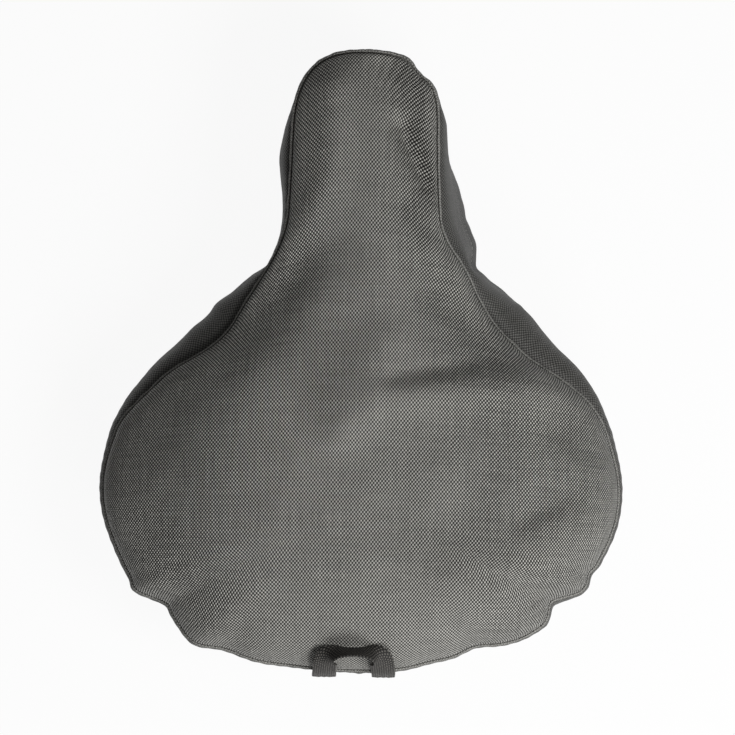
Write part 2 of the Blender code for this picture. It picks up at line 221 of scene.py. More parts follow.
# Fine creases of the top panel, in the same form
CREASES = (
    (-0.0008, 0.0030, ((0.020, 0.104), (0.035, 0.074))),
    (-0.0009, 0.0040, ((0.074, -0.0726), (0.102, -0.0585))),
    (-0.0008, 0.0040, ((0.092, -0.030), (0.1125, -0.041))),
    (-0.0011, 0.0040, ((0.016, -0.005), (0.030, -0.003), (0.050, 0.001))),
)

# Webbing loop, as its middle line from the seam up to the top of the loop
WEBBING_WIDTH = 0.0112
WEBBING_THICKNESS = 0.0012
LOOP_X = -0.0022
LOOP_SPACING = 0.0280
LOOP_LEG = 0.026
BEHIND_MARGIN = 0.008
LOOP_RISE = (
    (1.00, -0.0012, 0.0040, 0.00),
    (0.985, 0.0010, 0.0088, 0.00),
    (0.955, 0.0046, 0.0068, 0.05),
    (0.90, 0.0074, 0.0068, 0.45),
    (0.77, 0.0095, 0.0072, 0.90),
    (0.53, 0.0106, 0.0077, 1.15),
    (0.26, 0.0110, 0.0079, 1.27),
    (0.00, 0.0111, 0.0079, 1.30),
)

# Width of the seam's bead at the places along the cover, as a share of its full width, and how
# far outside and below the seam line its middle is, as shares of its radius
BEAD_WIDTHS = (0.80, 0.68, 0.68, 0.68, 0.85)
BEAD_OUT = 0.80
BEAD_DROP = 0.10

# How far the crosswise threads arch over the cover, for each metre of the distance squared
WEFT_BOWS = (0.0, 0.5, 2.0, 6.0, 8.0)

# The photograph's view, straight down on the seam's level
CAMERA_POINT = (0.00251, -0.00108)
CAMERA_HEIGHT = 2.262
CAMERA_LENS = 230
CAMERA_ROLL = 0.72


def through(stations, at):
    """Smooth curve through (place, value) stations in rising order that never overshoots them."""
    place, value = np.array(stations, dtype=float).T
    step = np.diff(place)
    rise = np.diff(value) / step
    before, after = rise[:-1], rise[1:]
    same_way = before * after > 0
    slope = np.zeros_like(value)
    slope[1:-1][same_way] = 2 * (before * after)[same_way] / (before + after)[same_way]
    at = np.clip(at, place[0], place[-1])
    left = np.clip(np.searchsorted(place, at) - 1, 0, len(step) - 1)
    t = (at - place[left]) / step[left]
    pull = t * (1 - t) ** 2 * slope[left] - t ** 2 * (1 - t) * slope[left + 1]
    blend = t ** 2 * (3 - 2 * t)
    return value[left] * (1 - blend) + value[left + 1] * blend + pull * step[left]


def smooth_line(run, values, at):
    """Smooth curve through values at rising distances, turning evenly at each of them."""
    slope = np.gradient(values, run)
    left = np.clip(np.searchsorted(run, at) - 1, 0, len(run) - 2)
    step = run[left + 1] - run[left]
    t = (at - run[left]) / step
    blend = t ** 2 * (3 - 2 * t)
    pull = t * (1 - t) ** 2 * slope[left] - t ** 2 * (1 - t) * slope[left + 1]
    return values[left] * (1 - blend) + values[left + 1] * blend + pull * step


def bell(distance, reach):
    """1 at no distance, falling away smoothly over the reach."""
    return np.exp(-((distance / reach) ** 2))


def half_width(y):
    """Half the width between the seams, from the wings to where the nose starts to round."""
    return through(
        (
            (WING_Y, WING_HALF),
            (FLANK_Y, FLANK_HALF),
            (SHOULDER_Y, SHOULDER_HALF),
            (WAIST_Y, WAIST_HALF),
            (NECK_Y, NECK_HALF),
            (NOSE_TIP_Y - NOSE_ROUNDING, NOSE_HALF),
        ),
        y,
    )


def seam_height(y):
    """Height of the seam line at a place along the cover."""
    return through(list(zip(PLACES_Y, SEAM_HEIGHTS)), y)


def crown_height(y):
    """Height of the top along the middle, before its edges round down to the seam."""
    return through(list(zip(PLACES_Y, CROWN_HEIGHTS)), y)


def fold_heights(folds, x, y):
    """Ridges and valleys: bell-shaped across each path, fading over its ends."""
    total = np.zeros(np.broadcast(x, y).shape)
    for height, reach, path in folds:
        nearest = np.full_like(total, np.inf)
        for (ax, ay), (bx, by) in zip(path, path[1:]):
            length = (bx - ax) ** 2 + (by - ay) ** 2
            t = np.clip(((x - ax) * (bx - ax) + (y - ay) * (by - ay)) / length, 0, 1)
            away = np.hypot(x - ax - t * (bx - ax), y - ay - t * (by - ay))
            nearest = np.minimum(nearest, away)
        total += height * bell(nearest, reach)
    return total


def panel_height(x, y, v, fold_share=1.0):
    """Height of the panel at a point v of the way from the spine to the seam: the crown's rise
    times the root of 1 - v^power, plus a share of the folds, which fade towards the seam."""
    power = through(((WING_Y, WING_EDGE_POWER), (NECK_Y, NOSE_EDGE_POWER)), y)
    edge = np.sqrt(np.clip(1 - v ** power, 0, 1))
    seam = seam_height(y)
    folds = fold_share * fold_heights(FOLDS + CREASES, x, y)
    return seam + (crown_height(y) - seam) * edge + folds * (1 - v ** FOLD_FADE)


def share_out(x, y):
    """How far a point is from the spine towards the seam: across by the half width between the
    two caps, and by the cap's own superellipse beyond them."""
    nose_start = NOSE_TIP_Y - NOSE_ROUNDING
    across = np.abs(x) / half_width(y)
    behind = np.clip((WING_Y - y) / (WING_Y - REAR_Y), 0, None)
    ahead = np.clip((y - nose_start) / NOSE_ROUNDING, 0, None)
    rear = (across ** REAR_POWER + behind ** REAR_POWER) ** (1 / REAR_POWER)
    nose = (across ** NOSE_POWER + ahead ** NOSE_POWER) ** (1 / NOSE_POWER)
    return np.clip(np.where(behind > 0, rear, np.where(ahead > 0, nose, across)), 0, 1)


def unevenness(a, b, shortest, longest, depth, seed):
    """The slight unevenness of handled cloth: a sum of cosine waves in random directions and
    phases, of wavelengths from shortest to longest."""
    random = np.random.default_rng(seed)
    total = np.zeros(np.broadcast(a, b).shape)
    count = 14
    for _ in range(count):
        turn, phase = random.uniform(0, 2 * np.pi, 2)
        length = random.uniform(shortest, longest)
        along = (a * np.cos(turn) + b * np.sin(turn)) / length
        total += np.cos(2 * np.pi * along + phase)
    return total * depth / np.sqrt(count)


class Outline:
    """The seam line as a number of points, anticlockwise from the rear, and what hangs from it."""

    def __init__(self, count):
        turn = np.linspace(0, np.pi / 2, 2000)
        side_y = np.linspace(WING_Y, NOSE_TIP_Y - NOSE_ROUNDING, 4000)[1:-1]
        x = np.concatenate((
            WING_HALF * np.sin(turn) ** (2 / REAR_POWER),
            half_width(side_y),
            NOSE_HALF * np.cos(turn) ** (2 / NOSE_POWER),
        ))
        y = np.concatenate((
            WING_Y + (REAR_Y - WING_Y) * np.cos(turn) ** (2 / REAR_POWER),
            side_y,
            NOSE_TIP_Y - NOSE_ROUNDING + NOSE_ROUNDING * np.sin(turn) ** (2 / NOSE_POWER),
        ))
        run = np.concatenate(([0], np.cumsum(np.hypot(np.diff(x), np.diff(y)))))
        arc = np.linspace(0, run[-1], count // 2 + 1)
        x, y = np.interp(arc, run, x), np.interp(arc, run, y)
        x[0] = x[-1] = 0
        self.count = count
        self.side_y, self.side_arc = y, arc
        self.half_round = run[-1]
        self.x = np.concatenate((x, -x[-2:0:-1]))
        self.y = np.concatenate((y, y[-2:0:-1]))
        self.arc = np.concatenate((arc, -arc[-2:0:-1]))
        out = np.stack((
            np.roll(self.y, -1) - np.roll(self.y, 1),
            np.roll(self.x, 1) - np.roll(self.x, -1),
        ))
        self.out = out / np.linalg.norm(out, axis=0)
        self.seam_out = self.waves(SEAM_WAVES + SEAM_NOTCHES)
        self.seam_x = self.x + self.out[0] * self.seam_out
        self.seam_y = self.y + self.out[1] * self.seam_out
        self.seam_z = seam_height(self.y)

    def gap(self, side, y):
        """Signed distance along the outline from a place on one side."""
        gap = self.arc - side * np.interp(y, self.side_y, self.side_arc)
        return (gap + self.half_round) % (2 * self.half_round) - self.half_round

    def waves(self, places):
        """Sum of bell-shaped waves along the outline, each at a side and a place."""
        total = np.zeros(self.count)
        for side, y, reach, distance in places:
            total += distance * bell(self.gap(side, y), reach)
        return total

    def bead_radius(self):
        """Radius of the bead along the seam."""
        return context_shape().welt_radius * through(list(zip(PLACES_Y, BEAD_WIDTHS)), self.y)

    def ring(self, out, z):
        """Points at a distance outside the seam line, at a height, as x, y, z on the last axis."""
        x = self.seam_x + self.out[0] * out
        y = self.seam_y + self.out[1] * out
        return np.stack(np.broadcast_arrays(x, y, z), axis=-1)

    def band_out(self, z):
        """How far outside the seam line the band's face is at a height: the plain wall's bulge and
        reach, its gathers and pleats, and the fine details of sewn cloth."""
        shape = context_shape()
        top = self.seam_z - shape.welt_radius - CLEARANCE
        t = np.clip(1 - z / top, 0, 1)
        wall = []
        for column in (1, 2):
            right = through([(row[0], row[column]) for row in BAND_RIGHT], self.y)
            left = through([(row[0], row[column]) for row in BAND_LEFT], self.y)
            wall.append(np.where(self.arc < 0, left, right))
        bulge, hem = wall
        angle = np.pi * self.arc / self.half_round
        gathers = GATHER_DEPTH * np.cos(GATHERS * angle + 2 * np.sin(3 * angle))
        gathers = gathers + SLOW_GATHER_DEPTH * np.sin(SLOW_GATHERS * angle)
        loose = 1 - np.minimum(self.waves(TAUT_PLACES), 1)
        shoulder = t ** SHOULDER_CURVE
        middle = 4 * t * (1 - t)
        pleats = self.waves(BAND_PLEATS) * (middle + t ** 2) / 1.25
        plain = bulge * 4 * shoulder * (1 - shoulder) + hem * t ** HEM_CURVE
        tucked = TUCK_DEPTH * bell(top - z, TUCK_REACH)
        plain = plain + gathers * loose * t ** GATHER_CURVE + pleats - tucked
        return CLEARANCE + CLOTH + plain + self.band_details(z, t, angle, loose)

    def band_details(self, z, t, angle, loose):
        """Small gathers above the hem, puckers under the seam, the sewn line of the casing, the lap
        where the band is joined at the rear, and the cloth's own unevenness."""
        shape = context_shape()
        fine = np.cos(67 * angle + 3 * np.sin(5 * angle)) + 0.6 * np.cos(41 * angle + 1.3)
        fine = shape.small_gathers * fine * (0.15 + 0.85 * loose) * t ** 2.5
        down = (self.seam_z - z) / 0.007
        puckers = np.sin(150 * angle + 2 * np.sin(9 * angle)) * np.exp(-down)
        puckers = shape.puckers * puckers
        sewn = -shape.hem_dent * bell(z - shape.hem_stitch_height, 0.0011)
        side, place, reach, _ = BAND_PLEATS[0]
        beside = self.gap(side, place) / (0.6 * reach)
        overlap = shape.pleat_lap * beside * bell(beside, 1) * (0.3 + 0.7 * t)
        lap = 0.0005 * bell(self.arc / 0.0032, 1) ** 4
        cloth = unevenness(self.arc, z, 0.012, 0.034, 0.6 * shape.unevenness, 5)
        return fine + puckers + sewn + overlap + lap + cloth * np.minimum(4 * t, 1)


def context_shape():
    """The shape settings of the scene."""
    return bpy.context.scene.saddle_cover_shape


def context_finish():
    """The colour and weave settings of the scene."""
    return bpy.context.scene.saddle_cover_finish


def casing_width(z):
    """Width of the hem's casing from face to face: even up to the elastic's top, then drawn
    together at its stitching."""
    plain = HEM_WIDTH + (HEM_TOP_WIDTH - HEM_WIDTH) * z / HEM_HEIGHT
    drawn = np.clip((z - 0.0075) / 0.0045, 0, 1)
    drawn = drawn ** 2 * (3 - 2 * drawn)
    return plain * (1 - drawn) + (2 * CLOTH + 0.0003) * drawn


class Signal:
    """A number that changes over a surface. Arithmetic on it adds Math nodes."""

    def __init__(self, finish, socket):
        self.finish = finish
        self.socket = socket

    def math(self, operation, *others):
        """A Math node with this number and others as its inputs."""
        inputs = dict(enumerate((self, *others)))
        return self.finish.node("ShaderNodeMath", {"operation": operation}, inputs)

    def __add__(self, other):
        return self.math("ADD", other)

    __radd__ = __add__

    def __sub__(self, other):
        return self.math("SUBTRACT", other)

    def __rsub__(self, other):
        return self.finish.node("ShaderNodeMath", {"operation": "SUBTRACT"}, {0: other, 1: self})

    def __mul__(self, other):
        return self.math("MULTIPLY", other)

    __rmul__ = __mul__

    def __truediv__(self, other):
        return self.math("DIVIDE", other)


class Finish:
    """One material, built up from its nodes."""

    def __init__(self, name):
        self.material = bpy.data.materials.new(name)
        self.material.use_nodes = True
        self.tree = self.material.node_tree
        self.shader = self.tree.nodes["Principled BSDF"]

    def feed(self, socket, value):
        """Set a socket to a value, or link it to a signal."""
        if isinstance(value, Signal):
            self.tree.links.new(value.socket, socket)
        else:
            socket.default_value = value

    def node(self, kind, settings=None, inputs=None, output=0):
        """Add a node with its settings and then its inputs, and give one of its outputs."""
        made = self.tree.nodes.new(kind)
        for name, value in (settings or {}).items():
            setattr(made, name, value)
        for key, value in (inputs or {}).items():
            self.feed(made.inputs[key], value)
        return Signal(self, made.outputs[output])

    def steps(self, value, low, high):
        """0 below low, 1 above high and smooth between them."""
        return self.node(
            "ShaderNodeMapRange",
            {"interpolation_type": "SMOOTHSTEP"},
            {"Value": value, "From Min": low, "From Max": high},
        )

    def mix(self, share, first, second):
        """A colour that goes from the first to the second."""
        return self.node(
            "ShaderNodeMix", {"data_type": "RGBA"}, {0: share, 6: first, 7: second}, output=2
        )

    def noise(self, vector, scale, detail=2.0, roughness=0.5):
        """Smooth noise about 0, from about -0.5 to 0.5."""
        found = self.node(
            "ShaderNodeTexNoise",
            {},
            {"Vector": vector, "Scale": scale, "Detail": detail, "Roughness": roughness},
        )
        return found - 0.5

    def place(self):
        """Object coordinates."""
        return self.node("ShaderNodeTexCoord", {}, {}, "Object")

    def along_cloth(self):
        """The two lengths along the cloth, from the piece's UV map, and their vector."""
        uv = self.node("ShaderNodeUVMap", {"uv_map": "cloth"}, {}, "UV")
        split = self.node("ShaderNodeSeparateXYZ", {}, {0: uv}, "X")
        return split, Signal(self, split.socket.node.outputs["Y"]), uv

    def set(self, **values):
        """Set or link sockets of the shader, named with spaces as underscores."""
        for name, value in values.items():
            self.feed(self.shader.inputs[name.replace("_", " ")], value)

    def bump(self, height, distance):
        """Let a height, 0 to 1, shade the surface as relief of a depth."""
        inputs = {"Height": height, "Distance": distance, "Strength": 1.0}
        self.set(Normal=self.node("ShaderNodeBump", {}, inputs, "Normal"))


def weave(u, v, pitch_u, pitch_v):
    """Plain weave as the product of two cosines: 1 where the lengthwise thread lies on top, -1
    where the crosswise one does."""
    across = (u * (math.pi / pitch_u)).math("COSINE")
    along = (v * (math.pi / pitch_v)).math("COSINE")
    return across * along


def thread_tone(finish, u, v, pitch_u, pitch_v):
    """A tone of each thread's own: noise stretched along the threads, for both directions."""
    tones = []
    for a, b, pitch in ((u, v, pitch_u), (v, u, pitch_v)):
        vector = finish.node("ShaderNodeCombineXYZ", {}, {0: a / pitch, 1: b * 40.0, 2: 0.0})
        tones.append(finish.noise(vector, 1.0, detail=1.0))
    return tones[0] + tones[1]


def canvas(name, lightness, relief, fineness=1.0, flatness=0.0, painted_nose_shade=0.0):
    """Coated plain-weave canvas: warm grey threads over near-black gaps, with slubs, rubbed
    patches and a dull coat. Fineness shortens the weave, flatness lifts its gaps, and the nose
    shade paints the cloth darker towards the nose, for the shadow on the band's nose flaps. Where
    the piece's own attribute, drawn, is above 0, over the sloping outer cloth, its threads part and
    the gaps widen, and painted glints on the thread tops, painted shade in the gaps and a slightly
    lighter painted tone make the weave stand out. Below 0 the attribute paints shade into the
    cloth, at the bottom of the seam's groove."""
    look = context_finish()
    finish = Finish(name)
    place = finish.place()
    u, v, uv = finish.along_cloth()
    wander = finish.noise(uv, 60.0, detail=1.0)
    u = u + wander * 0.0006
    v = v - wander * 0.0005
    pitch_u, pitch_v = look.thread_pitch_across / fineness, look.thread_pitch_along / fineness
    threads = weave(u, v, pitch_u, pitch_v)
    tone = thread_tone(finish, u, v, pitch_u, pitch_v)
    patches = finish.noise(place, 22.0, detail=3.0)
    # Where drawn is above 0 the gaps widen, and the colour takes painted glints on the thread tops,
    # painted shade in the gaps and a slightly lighter painted tone; below 0 it paints the groove's
    # shade.
    drawn = finish.node("ShaderNodeAttribute", {"attribute_name": "drawn"}, {}, "Fac")
    on_top = finish.steps(threads * (drawn * 0.9 + 0.75) - drawn * 0.25, -0.40, 0.62)
    thread = scaled(look.thread_colour, lightness * (1 - 0.4 * flatness))
    gap = tuple(a + 0.4 * flatness * b for a, b in zip(look.gap_colour, look.thread_colour))
    gap = scaled(gap, lightness)
    shade = finish.mix(on_top, (*gap, 1), (*thread, 1))
    forward = Signal(finish, finish.node(
        "ShaderNodeSeparateXYZ", {}, {0: place}, "X"
    ).socket.node.outputs["Y"])
    # Painted shade: the cloth darkens towards the nose, from y = 0.030 to 0.052, for the shadow on
    # the band's nose flaps.
    shaded = finish.steps(forward, 0.030, 0.052) * painted_nose_shade
    level = 1.0 + drawn * 0.12 + tone * (drawn * 0.50 + 0.45) + patches * 0.22 - shaded
    toned = finish.node(
        "ShaderNodeVectorMath", {"operation": "SCALE"}, {0: shade, "Scale": level}, "Vector"
    )
    finish.set(Base_Color=toned, Roughness=0.80 - on_top * 0.34 + patches * 0.10)
    finish.set(Metallic=0.0, Specular_IOR_Level=0.45)
    finish.bump((threads * 0.5 + 0.5) * (drawn * 0.35 + 0.85), relief)
    return finish.material


def scaled(colour, level):
    """A colour made lighter or darker."""
    return tuple(channel * level for channel in colour)


THREAD_TWIST = (9000.0, 6.283)


def thread_finish():
    """Sewing thread: two plies twisted together."""
    look = context_finish()
    finish = Finish("sewing_thread")
    u, v, _ = finish.along_cloth()
    twist = (u * THREAD_TWIST[0] + v * THREAD_TWIST[1]).math("SINE")
    lit = finish.steps(twist, -0.6, 0.8)
    dark = scaled(look.stitch_colour, 0.45)
    finish.set(Base_Color=finish.mix(lit, (*dark, 1), (*look.stitch_colour, 1)))
    finish.set(Roughness=0.62, Metallic=0.0)
    finish.bump(twist * 0.5 + 0.5, 0.00008)
    return finish.material


def webbing_finish():
    """Flat woven webbing: rows of small ribs set off by half a step, darker where the rows meet."""
    look = context_finish()
    finish = Finish("loop_webbing")
    place = finish.place()
    u, v, _ = finish.along_cloth()
    row = (u / look.webbing_rib).math("ROUND")
    ribs = ((v / (look.webbing_rib * 1.3) + row * 0.5) * (2 * math.pi)).math("SINE")
    between = (u / look.webbing_rib * (2 * math.pi)).math("COSINE")
    height = (ribs * 0.5 + 0.5) * (between * 0.35 + 0.65)
    worn = finish.noise(place, 260.0, detail=3.0)
    light = scaled(look.webbing_colour, 2.1)
    dark = scaled(look.webbing_colour, 0.10)
    shade = finish.mix(finish.steps(height + worn * 0.3, 0.15, 0.95), (*dark, 1), (*light, 1))
    finish.set(Base_Color=shade, Roughness=0.78 - height * 0.15, Metallic=0.0)
    finish.bump(height, 0.00025)
    return finish.material


def elastic_finish():
    """Braided elastic: pale lengthwise cords with a fine crosswise crimp."""
    look = context_finish()
    finish = Finish("braided_elastic")
    u, v, _ = finish.along_cloth()
    cords = (v * (2 * math.pi / 0.0011)).math("COSINE")
    crimp = (u * (2 * math.pi / 0.0008) + cords).math("SINE")
    height = cords * 0.35 + crimp * 0.15 + 0.5
    dark = scaled(look.elastic_colour, 0.6)
    shade = finish.mix(finish.steps(height, 0.1, 0.9), (*dark, 1), (*look.elastic_colour, 1))
    finish.set(Base_Color=shade, Roughness=0.85, Metallic=0.0)
    finish.bump(height, 0.0002)
    return finish.material


def grid_faces(rows, count, closed_round):
    """Quads between neighbouring rows of points, with faces to the outside for rows that run
    anticlockwise and come one below the other."""
    rim = count if closed_round else count - 1
    i = np.arange(rim)
    j = (i + 1) % count
    high = (np.arange(rows - 1) * count)[:, None]
    low = high + count
    quads = np.stack((low + i, low + j, high + j, high + i), axis=-1)
    return quads.reshape(-1, 4)


def build_mesh(name, points, faces, uv=None):
    """A smooth mesh from an array of points and lists of faces, with a UV pair for each corner or
    for each point."""
    mesh = bpy.data.meshes.new(name)
    mesh.from_pydata(points.reshape(-1, 3), [], faces)
    mesh.update()
    if uv is not None:
        layer = mesh.uv_layers.new(name="cloth")
        corners = np.empty(len(mesh.loops), dtype=np.int32)
        mesh.loops.foreach_get("vertex_index", corners)
        pairs = uv.reshape(-1, 2)
        if len(pairs) != len(corners):
            pairs = pairs[corners]
        layer.data.foreach_set("uv", pairs.astype(np.float32).ravel())
    mesh.shade_smooth()
    return mesh


def thicken(piece, thickness, offset=-1):
    """Give a cloth its thickness."""
    solid = piece.modifiers.new("thickness", "SOLIDIFY")
    solid.thickness = thickness
    solid.offset = offset


def put(name, mesh, material, slot, *nodes):
    """A piece of the cover that rides on its body and stands for nodes; the slot is not used."""
    mesh.materials.append(material)
    piece = bpy.data.objects.new(name, mesh)
    bpy.context.scene.collection.objects.link(piece)
    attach(piece, "root")
    if nodes:
        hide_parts(*nodes)
    return piece


class ClothLengths:
    """Lengths along the top's cloth, measured on a raster of its height: across from the middle
    line, and along from the wings, where the cover is widest. Folds are counted in part, since the
    cloth gives way beside them."""

    STEP = 0.001
    FOLD_SHARE = 0.4
    STEEPEST = 2.5

    def __init__(self):
        self.x = np.arange(-WING_HALF - 0.006, WING_HALF + 0.006, self.STEP)
        self.y = np.arange(REAR_Y - 0.006, NOSE_TIP_Y + 0.006, self.STEP)
        x, y = np.meshgrid(self.x, self.y)
        height = panel_height(x, y, share_out(x, y), self.FOLD_SHARE)
        self.across = self.run(height, 1, self.x)
        self.along = self.run(height, 0, self.y - WING_Y)

    def run(self, height, axis, places):
        """Surface length along one axis: the sum of the root of 1 + slope^2, 0 at place 0."""
        slope = np.clip(np.gradient(height, self.STEP, axis=axis), -self.STEEPEST, self.STEEPEST)
        length = np.cumsum(np.sqrt(1 + slope ** 2), axis=axis) * self.STEP
        start = np.take(length, [int(np.argmin(np.abs(places)))], axis=axis)
        return length - start

    def at(self, x, y):
        """Both lengths at points seen from above, read smoothly from the raster."""
        column = np.clip((x - self.x[0]) / self.STEP, 0, len(self.x) - 1.001)
        row = np.clip((y - self.y[0]) / self.STEP, 0, len(self.y) - 1.001)
        i, j = row.astype(int), column.astype(int)
        a, b = row - i, column - j
        read = []
        for table in (self.across, self.along):
            low = table[i, j] * (1 - b) + table[i, j + 1] * b
            high = table[i + 1, j] * (1 - b) + table[i + 1, j + 1] * b
            read.append(low * (1 - a) + high * a)
        return np.stack(read, axis=-1)


TOP_ROUND = 600
TOP_RINGS = 58
NEAR_SEAM_STEPS = (2.0, 1.5, 1.0, 0.66, 0.33, 0.0)
GROOVE_FLOOR = ((-0.95, -0.0002), (-0.65, -0.0004), (-0.30, -0.0005), (0.0, -0.0007))
# Painted shade for the floor of the seam's groove and the turned allowance, given as a value of the
# drawn attribute below 0
GROOVE_PAINTED_SHADE = -1.8
ALLOWANCE_ROWS = 3


def top_points(outline):
    """Rings from the spine out to the seam, evenly spaced in the angle whose sine is the share of
    the way out. Near the seam each ring is drawn inward as the wall of a groove, whose floor leads
    to the allowance that is turned down inside. Gives points and their lengths on the cloth."""
    shape = context_shape()
    steps = np.concatenate((np.arange(1, TOP_RINGS - 2), TOP_RINGS - np.array(NEAR_SEAM_STEPS)))
    v = np.sin(np.pi / 2 * steps / TOP_RINGS)[:, None]
    spine = np.clip(outline.y, WING_Y, NOSE_TIP_Y - NOSE_ROUNDING)
    x, y = v * outline.x, spine + v * (outline.y - spine)
    cloth = unevenness(x, y, 0.014, 0.040, shape.unevenness, 3)
    z = panel_height(x, y, v) + cloth * (1 - v ** FOLD_FADE)
    over = z - seam_height(y)
    angle = np.pi * outline.arc / outline.half_round
    puckers = np.sin(150 * angle + 2 * np.sin(9 * angle)) * bell(over, 0.006)
    z += shape.puckers * puckers * (1 - v ** 60)
    out = outline.seam_out * v ** 3 - shape.groove_width * bell(over, 0.0014)
    rings = np.stack((x + outline.out[0] * out, y + outline.out[1] * out, z), axis=-1)
    lengths = ClothLengths().at(x, y)
    lengths[..., 1] += through(list(zip(PLACES_Y, WEFT_BOWS)), y) * x ** 2
    rows = [rings]
    downs = []
    for share, drop in GROOVE_FLOOR:
        rows.append(outline.ring(share * shape.groove_width, outline.seam_z + drop)[None])
        downs.append(0.0004 + (share + 1) * shape.groove_width)
    for down in np.linspace(0, ALLOWANCE, ALLOWANCE_ROWS + 1)[1:]:
        rows.append(outline.ring(0, outline.seam_z + GROOVE_FLOOR[-1][1] - down)[None])
        downs.append(downs[len(GROOVE_FLOOR) - 1] + down)
    direction = np.stack(outline.out, axis=-1)
    turned = lengths[-1] + np.array(downs)[:, None, None] * direction
    return np.concatenate(rows), np.concatenate((lengths, turned))


class SADDLECOVER_OT_top(bpy.types.Operator):
    """Add the saddle-shaped top cloth with its folds, the groove at its seam and its turned edge"""

    bl_idname = "saddle_cover.add_top"
    bl_label = "Top Cloth"

    def execute(self, context):
        outline = Outline(TOP_ROUND)
        points, uv = top_points(outline)
        faces = grid_faces(len(points), TOP_ROUND, True).tolist()
        half = TOP_ROUND // 2
        for i in range(half):
            corners = (i, i + 1, TOP_ROUND - i - 1, (TOP_ROUND - i) % TOP_ROUND)
            faces.append(tuple(dict.fromkeys(corners)))
        mesh = build_mesh("top_cloth", points, faces, uv)
        # Drawn rises from 0 at a quarter of the way out to 1 at three quarters: there the weave's
        # gaps widen and its colour takes painted glints and painted shade in the gaps.
        drawn = mesh.attributes.new("drawn", "FLOAT", "POINT")
        out = np.clip((np.abs(points[..., 0]) / half_width(points[..., 1]) - 0.25) / 0.5, 0, 1)
        out = out ** 2 * (3 - 2 * out)
        # Painted shade: the groove's floor and the allowance take the darkening value.
        out[-len(GROOVE_FLOOR) - ALLOWANCE_ROWS:] = GROOVE_PAINTED_SHADE
        drawn.data.foreach_set("value", out.astype(np.float32).ravel())
        shape = context_shape()
        finish = canvas("top_canvas", 1.20, 0.00042)
        piece = put("top_cloth", mesh, finish, "canvas", "top_panel")
        thicken(piece, shape.cloth_thickness)
        return {"FINISHED"}


BAND_ROUND = 680
BAND_WALL_ROWS = 28
HEM_CORNER = 0.0013
CORNER_STEPS = 4
CASING_ROWS = 8


def band_profile(top):
    """The band's rows from under the welt to the hem and up inside it: heights, and shares of the
    way through the casing, for tops at each point of the outline."""
    down = np.linspace(0, 1, BAND_WALL_ROWS)[:, None]
    wall_z = top * (1 - down) + HEM_CORNER * down
    turn = np.linspace(0, np.pi / 2, CORNER_STEPS + 1)[1:, None]
    corner_z, corner_in = HEM_CORNER * (1 - np.sin(turn)), HEM_CORNER * (1 - np.cos(turn))
    up = np.linspace(HEM_CORNER, HEM_HEIGHT, CASING_ROWS)[1:, None]
    ones = np.ones_like(top)
    corners = (corner_z * ones, corner_z[::-1] * ones, HEM_CORNER * ones[None])
    z = np.concatenate((wall_z, *corners, up * ones))
    inner = casing_width(z)
    inward = np.concatenate((
        0 * wall_z,
        corner_in * ones,
        inner[BAND_WALL_ROWS + CORNER_STEPS:-CASING_ROWS] - corner_in[::-1] * ones,
        inner[-CASING_ROWS:],
    ))
    return z, inward


class SADDLECOVER_OT_band(bpy.types.Operator):
    """Add the gathered side band from under the welt to the hem, turned in as the casing"""

    bl_idname = "saddle_cover.add_band"
    bl_label = "Side Band"

    def execute(self, context):
        shape = context_shape()
        outline = Outline(BAND_ROUND)
        top = outline.seam_z - shape.welt_radius * 0.8
        z, inward = band_profile(top)
        points = outline.ring(outline.band_out(z) - inward, z)
        down = np.linalg.norm(np.diff(points, axis=0), axis=-1)
        down = np.concatenate((np.zeros((1, BAND_ROUND)), np.cumsum(down, axis=0)))
        pitch = context_finish().thread_pitch_across
        turns = 2 * round(outline.half_round / pitch) * pitch
        around = np.arange(BAND_ROUND) / BAND_ROUND * turns
        faces = grid_faces(len(points), BAND_ROUND, True)
        corner_u = around[faces % BAND_ROUND]
        last = (corner_u.max(axis=1) > turns / 2)[:, None]
        corner_u += turns * ((faces % BAND_ROUND == 0) & last)
        uv = np.stack((corner_u, down.ravel()[faces]), axis=-1)
        mesh = build_mesh("band_cloth", points, faces.tolist(), uv)
        # The band's canvas takes painted shade towards the nose.
        finish = canvas("band_canvas", 0.44, 0.00020, flatness=0.35, painted_nose_shade=0.28)
        piece = put("band_cloth", mesh, finish, "canvas", "side_band")
        thicken(piece, shape.cloth_thickness)
        return {"FINISHED"}


WELT_ROUND = 900
WELT_SIDES = 12


def tube_mesh(name, centre, side, up, radius, along):
    """A closed ring of tube round a centre line: side and up span its section, whose radius may
    change along it. UV is the length along it and the length round it."""
    count = len(centre)
    turn = np.arange(WELT_SIDES) * 2 * np.pi / WELT_SIDES
    section = side[None] * np.cos(turn)[:, None, None] + up[None] * np.sin(turn)[:, None, None]
    points = centre[None] + section * radius[None, :, None]
    faces = grid_faces(WELT_SIDES + 1, count, True) % (WELT_SIDES * count)
    corner_u = along[faces % count]
    corner_u += along[-1] * ((faces % count == 0) & (corner_u.max(axis=1) > along[-1] / 2)[:, None])
    row = faces // count
    row = np.where((row == 0) & (row.max(axis=1) > 1)[:, None], WELT_SIDES, row)
    round_length = 2 * np.pi * radius.mean() / WELT_SIDES
    uv = np.stack((corner_u, row * round_length), axis=-1)
    return build_mesh(name, points, faces[:, ::-1].tolist(), uv[:, ::-1])


